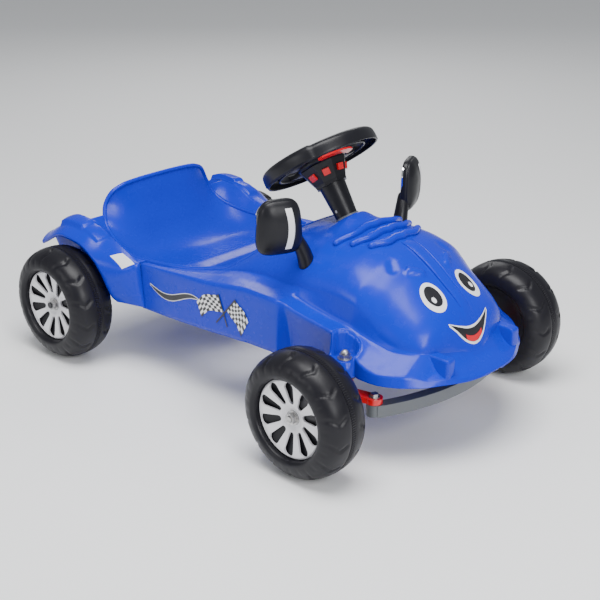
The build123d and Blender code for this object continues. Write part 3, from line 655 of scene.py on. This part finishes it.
zinc = metal("zinc_plate", (0.56, 0.55, 0.54), (0.30, 0.30, 0.31), 0.33)
painted = metal("black_paint", (0.05, 0.05, 0.055), (0.025, 0.025, 0.028), 0.45)
painted.node_tree.nodes["Principled BSDF"].inputs["Metallic"].default_value = 0.3
finish_of = {
    white: ("rim_disc",), red: ("knuckle", "hub_windows", "horn_insert"), grey: ("tie_rod",),
    film: ("mirror_glass",),
    zinc: ("axle_nut", "axle_nuts", "kingpin", "bolt", "screw", "stub_axle", "drive_pin", "spring",
           "spacers"),
    painted: ("rear_axle", "front_axle_beam", "pedal_rod", "pedal_lever", "push_rod",
              "steering_shaft"),
    black: ("hub", "column", "bearing", "block", "pad", "horn_button", "bush")}
for name, node in nodes.items():
    finish = black
    for candidate in (black, painted, grey, film, white, red, zinc):
        if any(word in name for word in finish_of[candidate]):
            finish = candidate
    if name.startswith(("rear_axle_block", "hub_bush")):
        finish = black
    if name in ("column_ring",):
        finish = grey
    node.data.materials.clear()
    node.data.materials.append(finish)

# ---- Wheels ------------------------------------------------------------------
# Blown black plastic, hollow and light: a rounded tread with a knurled parting
# band, shallow chevrons on both shoulders, and a dished face for the white disc.
wheel_radius, tyre_half = 110.0, 47.0
section_bend = np.linspace(0, np.pi, 46)
line_y = np.sign(np.cos(section_bend)) * np.abs(np.cos(section_bend)) ** 0.8 * tyre_half
line_r = 72 + (wheel_radius - 72) * np.abs(np.sin(section_bend)) ** 0.8
face_side = [(11, 23.4), (16, 23.4), (22, 23.6), (40, 25.8), (56, 28), (66, 30.6), (69.4, 31.6),
             (70, 33.5), (70.4, 39), (71, 44)]
back_side = [(71, -42), (67, -35), (60, -30), (48, -30), (30, -30), (22, -30.4), (18, -36),
             (11, -36)]
section = np.concatenate([face_side, np.stack([line_r, line_y], 1)[1:-1], back_side])
turns = 240
spin = np.linspace(0, 2 * np.pi, turns, endpoint=False)[:, None]
tread_r = np.broadcast_to(section[:, 0], (turns, len(section))).copy()
tread_y = section[:, 1][None, :]
on_tread = (section[:, 0] > 76)[None, :]
band_seat = on_tread * (1 - step_up(np.abs(tread_y), 4.0, 5.5)) * (section[:, 0] > 100)[None, :]
band_seat_depth = 1.4
tread_r -= band_seat_depth * band_seat
lug_count = 14
for flip in (1, -1):
    phase = (spin * lug_count / (2 * np.pi) + (0.0 if flip == 1 else 0.5)) % 1.0
    depth_y = flip * tread_y
    zone = step_up(depth_y, 12, 15) * (1 - step_up(depth_y, 40, 43)) * on_tread
    centre = 0.5 + 0.22 * np.abs(depth_y - 26) / 14
    groove = 1 - step_up(np.abs(phase - centre), 0.055, 0.085)
    tread_r -= 2.2 * groove * zone
    dots = step_up(depth_y, 41, 43) * (section[:, 0] > 80)[None, :]
    tread_r -= 1.2 * dots * (1 - step_up(np.abs((phase * 2) % 1 - 0.5), 0.12, 0.2))
wheel = np.stack([tread_r * np.cos(spin), np.broadcast_to(tread_y, tread_r.shape),
                  tread_r * np.sin(spin)], 2)
quads = grid_quads(turns, len(section), close_rows=True, close_columns=True)
for corner, wheel_x, wheel_y, rides in (
        ("front", 301.0, 280.5, ("wheel_front_left", "wheel_front_right")),
        ("rear", -369.0, 253.5, ("wheel_rear_left", "rear_axle"))):
    for side, name, body in ((1, "left", rides[0]), (-1, "right", rides[1])):
        placed = (wheel + (wheel_x, wheel_y, wheel_radius)) * (1, side, 1)
        tyre = put_mesh(f"road_wheel_{corner}_{name}", placed, quads[:, ::-side], tyre_black, body)
        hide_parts(f"tyre_{corner}_{name}")

# The knurled parting band round the middle of each tread: small square teeth.
teeth, band_half = 170, 4.2
band_turns = 4 * teeth
band_spin = np.linspace(0, 2 * np.pi, band_turns, endpoint=False)[:, None]
band_y = np.array([-band_half - 0.6, -band_half, -1.2, 1.2, band_half, band_half + 0.6])[None, :]
tooth = np.isin(np.arange(band_turns) % 4, (1, 2))[:, None]
tooth_depth, band_edge_drop = 0.9, 2.4
band_r = wheel_radius - np.where(np.abs(band_y) > band_half, band_edge_drop, 0.0)
band_r = band_r - np.where((np.abs(band_y) <= band_half) & tooth, tooth_depth, 0.0)
knurl = np.stack([band_r * np.cos(band_spin), np.broadcast_to(band_y, band_r.shape),
                  band_r * np.sin(band_spin)], 2)
band_quads = grid_quads(band_turns, 6, close_rows=True)
for corner, wheel_x, wheel_y, rides in (
        ("front", 301.0, 280.5, ("wheel_front_left", "wheel_front_right")),
        ("rear", -369.0, 253.5, ("wheel_rear_left", "rear_axle"))):
    for side, name, body in ((1, "left", rides[0]), (-1, "right", rides[1])):
        placed = (knurl + (wheel_x, wheel_y, wheel_radius)) * (1, side, 1)
        band_piece = put_mesh(f"parting_band_{corner}_{name}", placed, band_quads[:, ::-side],
                              tyre_black,
                              body, smooth=False)
        walled(band_piece, 1.0)

# ---- Steering wheel -----------------------------------------------------------------
# A deep black moulding open underneath, with grips left and right, three
# spokes and a round boss. The horn button sits in the boss.
wheel_base = 101.5
outer = 108.0
rim_line = np.array([(-1, 0), (0, 4), (0, 11), (-0.6, 18), (-4, 23.6), (-9, 26), (-13, 26.4),
                     (-18, 25), (-23, 20), (-26, 13), (-27, 6), (-25.4, 3), (-23.6, 3.4), (-22.6, 8),
                     (-20, 14), (-13, 18), (-6, 15), (-4, 8), (-3.4, 0.4)], float)
knot = np.arange(len(rim_line) + 1)
rim_fine = gentle(np.linspace(0, len(rim_line), 76)[:-1], knot, np.vstack([rim_line, rim_line[:1]]))
steps = 200
around = np.linspace(0, 2 * np.pi, steps, endpoint=False)
grip = np.maximum.reduce([
    step_up(np.cos(around - middle_turn), math.cos(math.radians(41)), math.cos(math.radians(38)))
    for middle_turn in (np.pi / 2, -np.pi / 2)])
swell = grip[:, None] * np.where(rim_fine[:, 1] > 2, 1.0, 0.0)[None, :]
centre_r = outer - 13.0
ring_r = outer + rim_fine[:, 0][None, :]
ring_h = np.broadcast_to(rim_fine[:, 1], ring_r.shape)
outside_wall = np.where((rim_fine[:, 0] > -14) & (np.arange(75) < 44), 1.0, 0.25)[None, :]
ring_r = ring_r + 2.2 * swell * np.sign(ring_r - centre_r) * outside_wall
ring_h = wheel_base + ring_h + 1.6 * swell * step_up(ring_h, 16, 24)
spoke_way = (np.cos(around)[:, None, None] * column_fore
             + np.sin(around)[:, None, None] * np.array([0, 1.0, 0]))
ring = column_foot + ring_h[..., None] * column_way + ring_r[..., None] * spoke_way
rim_piece = put_mesh("steering_rim", ring, grid_quads(steps, 75, close_rows=True, close_columns=True),
                     black, "steering", seam=0.001)
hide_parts("steering_wheel")
boss_line = [(6.5, 101.6), (38, 101.6), (43, 102.4), (46, 106), (45.4, 112), (42.5, 118),
             (38, 120.8), (30, 121.6), (22.5, 121.6), (21.4, 120.6), (21.2, 114), (6.5, 113.6)]
boss = turned_on_column(boss_line, 96)
put_mesh("steering_boss", boss, grid_quads(96, len(boss_line), close_rows=True, close_columns=True),
         black, "steering", seam=0.001)


def on_wheel(points, turn):
    """Moves points (out, across, up) to the steering wheel, at a turn about the column.

    A turn of 0 points the spoke to the car's left, 90 degrees back to the driver."""
    out = math.cos(turn) * np.array([0, 1.0, 0]) - math.sin(turn) * column_fore
    across = math.cos(turn) * -column_fore - math.sin(turn) * np.array([0, 1.0, 0])
    return (column_foot + points[..., :1] * out + points[..., 1:2] * across
            + points[..., 2:] * column_way)


for name, turn in (("left", 0.0), ("right", np.pi), ("rear", np.pi / 2)):
    points, quads = soft_block(np.array([66.0, 0, 111.5]), np.array([25.0, 14.5, 4.6]), 6.0)
    points[..., 2] -= 2.5 * np.cos(np.clip((points[..., 0] - 66) / 25, -1, 1) * np.pi)
    points[..., 1] *= 1 - 0.18 * np.cos(np.clip((points[..., 0] - 66) / 25, -1, 1) * np.pi / 2)
    put_mesh("steering_spoke_" + name, on_wheel(points, turn), quads, black, "steering",
             seam=0.01)

# ---- Door mirrors ----------------------------------------------------------------
# A pillow-shaped black case on a short stem, with foil glass facing the driver
# and a white vinyl stripe up its back.
mirror_middle = np.array([147.0, 176.0, 364.0])
mirror_yaw = math.radians(25.0)
case_half_w, case_half_h = 45.0, 49.0
case_rings = [(0.0, 13.0), (0.15, 12.9), (0.3, 12.5), (0.45, 11.6), (0.6, 10.0), (0.74, 7.8),
              (0.85, 5.0), (0.92, 2.2), (0.955, 0.2), (0.965, -0.6), (0.955, -1.4), (0.985, -2.6),
              (1.0, -5.0), (1.0, -9.5), (0.99, -11.6), (0.965, -12.8), (0.935, -12.8),
              (0.915, -12.4), (0.895, -9.4), (0.0, -9.4)]
case_rings = np.array(case_rings)
case_turn = np.linspace(0, 2 * np.pi, 96, endpoint=False)


def case_outline(turn):
    """A rounded, slightly tapered outline: a superellipse, narrower at the top."""
    w = np.sign(np.cos(turn)) * np.abs(np.cos(turn)) ** (2 / 3.8)
    h = np.sign(np.sin(turn)) * np.abs(np.sin(turn)) ** (2 / 3.8)
    return w * case_half_w * (0.98 - 0.085 * (h + 1)), h * case_half_h


def on_mirror(depth, width, height, side):
    """Points of the mirror case in the car's frame; depth is out of its back."""
    forward = np.array([math.cos(mirror_yaw), math.sin(mirror_yaw), 0])
    sideways = np.array([-math.sin(mirror_yaw), math.cos(mirror_yaw), 0])
    place = (mirror_middle + depth[..., None] * forward + width[..., None] * sideways
             + height[..., None] * np.array([0, 0, 1.0]))
    return place * (1, side, 1)


outline_w, outline_h = case_outline(case_turn)
case_w = case_rings[:, :1] * outline_w[None, :]
case_h = case_rings[:, :1] * outline_h[None, :]
case_d = np.broadcast_to(case_rings[:, 1:], case_w.shape)
vinyl = plastic("white_vinyl", (0.86, 0.86, 0.88), 0.3, 0.02, 0.05)
for side, name in ((1, "left"), (-1, "right")):
    case = on_mirror(case_d, case_w, case_h, side)
    piece = put_mesh("mirror_case_" + name, case, grid_quads(*case.shape[:2], close_columns=True),
                     black, "root", seam=0.01)
    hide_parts("mirror_housing_" + name)
    foot, top = np.array([160.0, 124, 288]), np.array([150.0, 147, 345])
    run = np.linspace(0, 1, 14)[:, None]
    stem_path = foot + (top - foot) * run + np.array([2.0, -3.0, 0]) * np.sin(run * np.pi)
    points, quads = tube_along(stem_path, 15.0 - 4.0 * run[:, 0], around=28)
    put_mesh("mirror_stem_" + name, points * (1, side, 1), quads, black, "root",
             seam=0.01)
    # The stripe stands on the viewer's right of both backs.
    stripe_h = np.linspace(-36, 36, 60)[:, None]
    stripe_w = side * (14.0 + 5.0 * np.cos(stripe_h / 36 * np.pi / 2) - 3) + np.linspace(-6, 6, 9)
    size = np.maximum(np.abs(stripe_w) / case_half_w, 0) ** 3.4 + (np.abs(stripe_h) / case_half_h) ** 3.4
    ratio = size ** (1 / 3.4)
    stripe_d = np.interp(ratio, case_rings[:9, 0], case_rings[:9, 1]) + 0.5
    stripe = on_mirror(stripe_d, np.broadcast_to(stripe_w, stripe_d.shape),
                       np.broadcast_to(stripe_h, stripe_d.shape), side)
    put_mesh("mirror_stripe_" + name, stripe, grid_quads(*stripe.shape[:2])[:, ::-side], vinyl,
             "root")

# ---- Stickers ---------------------------------------------------------------------
# Printed vinyl: a plain pair of eyes and a plain smile on the nose, crossed
# chequered flags and a swoosh on each sill, and a blank label on each guard.
ink = plastic("black_ink", (0.012, 0.012, 0.016), 0.3, 0.02, 0.05)
ink_red = plastic("red_ink", (0.65, 0.01, 0.02), 0.3, 0.02, 0.05)


def disc_patch(centre, half_u, half_v, turn, power=2.0, rings=14, around=56):
    """An oval of flat coordinates, as rings: a superellipse turned in its plane."""
    angle = np.linspace(0, 2 * np.pi, around, endpoint=False)[None, :]
    radius = np.linspace(0.02, 1, rings)[:, None]
    u = radius * half_u * np.sign(np.cos(angle)) * np.abs(np.cos(angle)) ** (2 / power)
    v = radius * half_v * np.sign(np.sin(angle)) * np.abs(np.sin(angle)) ** (2 / power)
    return (centre[0] + u * math.cos(turn) - v * math.sin(turn),
            centre[1] + u * math.sin(turn) + v * math.cos(turn))


def sticker(name, points, quads, finish):
    """A thin sticker that rides on the body."""
    return put_mesh(name, points, quads, finish, "root")


eye_x, eye_y = 376.0, 47.0
for side, name in ((1, "left"), (-1, "right")):
    for title, move_x, move_y, half_u, half_v, lift, finish in (
            ("eye_white_", 0, 0, 23.5, 21.5, 0.5, vinyl), ("eye_iris_", -1.0, -1.0, 16.5, 14.0, 0.9, ink),
            ("eye_glint_", 4.0, 3.0, 4.6, 4.0, 1.3, vinyl)):
        x, y = disc_patch((eye_x + move_x, eye_y + move_y), half_u, half_v, -0.25)
        points = on_shell(x, y, lift) * (1, side, 1)
        sticker(title + name, points, grid_quads(*x.shape, close_columns=True)[:, ::side], finish)

smile_s = np.linspace(-1, 1, 61)[:, None]
smile_t = np.linspace(0, 1, 13)[None, :]
smile_half, smile_end, smile_low, smile_high = 50.0, 414.0, 433.5, 425.0


def smile(grow, share_low, share_high, reach=1.0):
    """A crescent between two parabolas across the nose, widened all round by grow."""
    s = smile_s * reach
    top = smile_end + (smile_high - smile_end) * (1 - s ** 2) - grow
    bottom = smile_end + (smile_low - smile_end) * (1 - s ** 2) + grow
    x = top + (bottom - top) * (share_low + (share_high - share_low) * smile_t)
    return x, s * (smile_half + grow) + 0 * smile_t


for title, (x, y), lift, finish in (
        ("smile_edge", smile(1.4, 0, 1), 0.5, vinyl), ("smile_dark", smile(0.0, 0.02, 0.98), 0.9, ink),
        ("smile_tongue", smile(0.0, 0.55, 0.96, 0.42), 1.3, ink_red)):
    sticker(title, on_shell(x, y, lift), grid_quads(*x.shape)[:, ::-1], finish)


def on_sill(x, z, lift):
    """Points on a sill's outer face, which leans out by 2 mm over its height."""
    foot_z, top_z = 135.0, 235.0
    return np.stack([x, 198.0 + 2.0 * (z - foot_z) / (top_z - foot_z) + lift, z], -1)


check = plastic("flag_check", (0.8, 0.8, 0.8), 0.3, 0.02, 0.05)
check_tree = check.node_tree
cloth_place = check_tree.nodes.new("ShaderNodeUVMap")
cloth_place.uv_map = "cloth"
squares = check_tree.nodes.new("ShaderNodeTexChecker")
squares.inputs["Scale"].default_value = 8.0
squares.inputs["Color1"].default_value = (0.86, 0.86, 0.88, 1)
squares.inputs["Color2"].default_value = (0.012, 0.012, 0.016, 1)
check_tree.links.new(cloth_place.outputs["UV"], squares.inputs["Vector"])
check_tree.links.new(squares.outputs["Color"], check_tree.nodes["Principled BSDF"].inputs["Base Color"])


def flag(hoist_top, hoist_foot, fly_top, fly_foot, billow):
    """A rippling flag between its four corners, and its flat cloth coordinates."""
    u = np.linspace(0, 1, 33)[:, None]
    v = np.linspace(0, 1, 25)[None, :]
    corners = [np.array(c, float)[:, None, None] for c in (hoist_top, hoist_foot, fly_top, fly_foot)]
    x, z = (corners[0] * (1 - u) * (1 - v) + corners[1] * (1 - u) * v
            + corners[2] * u * (1 - v) + corners[3] * u * v)
    z = z + billow * np.sin(u * np.pi) - 2.5 * np.sin(u * 2 * np.pi)
    return x, z, np.broadcast_to(u, x.shape), np.broadcast_to(v, x.shape)


for side, name in ((1, "left"), (-1, "right")):
    for number, flag_corners in enumerate((
            ((16, 214), (29, 184), (-42, 184), (-30, 157), 8.0),
            ((60, 215), (37, 190), (91, 183), (71, 149), 5.0))):
        x, z, u, v = flag(*flag_corners)
        facing = side if number else -side
        piece = sticker(f"sill_flag_{number + 1}_{name}", on_sill(x, z, 1.1) * (1, side, 1),
                        grid_quads(*x.shape)[:, ::facing], check)
        cloth = piece.data.uv_layers.new(name="cloth")
        corner_of = np.empty(len(piece.data.loops), int)
        piece.data.loops.foreach_get("vertex_index", corner_of)
        flat = np.stack([u.ravel(), v.ravel() * 0.75], 1)[corner_of]
        cloth.data.foreach_set("uv", flat.ravel())
    for number, (pole_low, pole_high) in enumerate((((37, 157), (16, 215)), ((9, 158), (60, 216)))):
        run = np.linspace(0, 1, 20)[:, None]
        wide = np.linspace(-1.5, 1.5, 5)[None, :]
        along = np.array(pole_high, float) - pole_low
        along_unit = along / np.linalg.norm(along)
        x = pole_low[0] + along[0] * run - along_unit[1] * wide
        z = pole_low[1] + along[1] * run + along_unit[0] * wide
        sticker(f"flag_pole_{number + 1}_{name}", on_sill(x, z, 1.5 + 0.3 * number) * (1, side, 1),
                grid_quads(*x.shape)[:, ::-side], ink)
    # The swoosh: a tapered black stroke on a wider white one.
    for title, grow, lift, finish in (("swoosh_edge_", 1.5, 0.9, vinyl), ("swoosh_", 0.0, 1.2, ink)):
        run = np.linspace(0, 1, 70)[:, None]
        wide = np.linspace(-1, 1, 5)[None, :]
        x = -172 + 134 * run + 0 * wide
        centre_z = 184 - 12 * np.sin(run * np.pi * 1.6) - 6 * run
        thick = 5.5 * np.sin(np.clip(run, 0.01, 0.99) * np.pi) ** 0.7 + grow
        z = centre_z + thick * wide
        sticker(title + name, on_sill(x, z, lift) * (1, side, 1), grid_quads(*x.shape)[:, ::-side],
                finish)

# A blank white label on the front of each mudguard.
label_rows = np.flatnonzero((guard_turn > 33) & (guard_turn < 49))
label_columns = np.flatnonzero((guard_w > 0.22) & (guard_w < 0.66))
label = guard[label_rows[0]:label_rows[-1] + 1, label_columns[0]:label_columns[-1] + 1]
outward = label - axis_line * (1, 0, 1) - (0, 120, 0)
outward /= np.linalg.norm(outward, axis=2, keepdims=True)
for side, name in ((1, "left"), (-1, "right")):
    sticker("guard_label_" + name, (label + 0.7 * outward) * (1, side, 1),
            grid_quads(*label.shape[:2])[:, ::-side], vinyl)
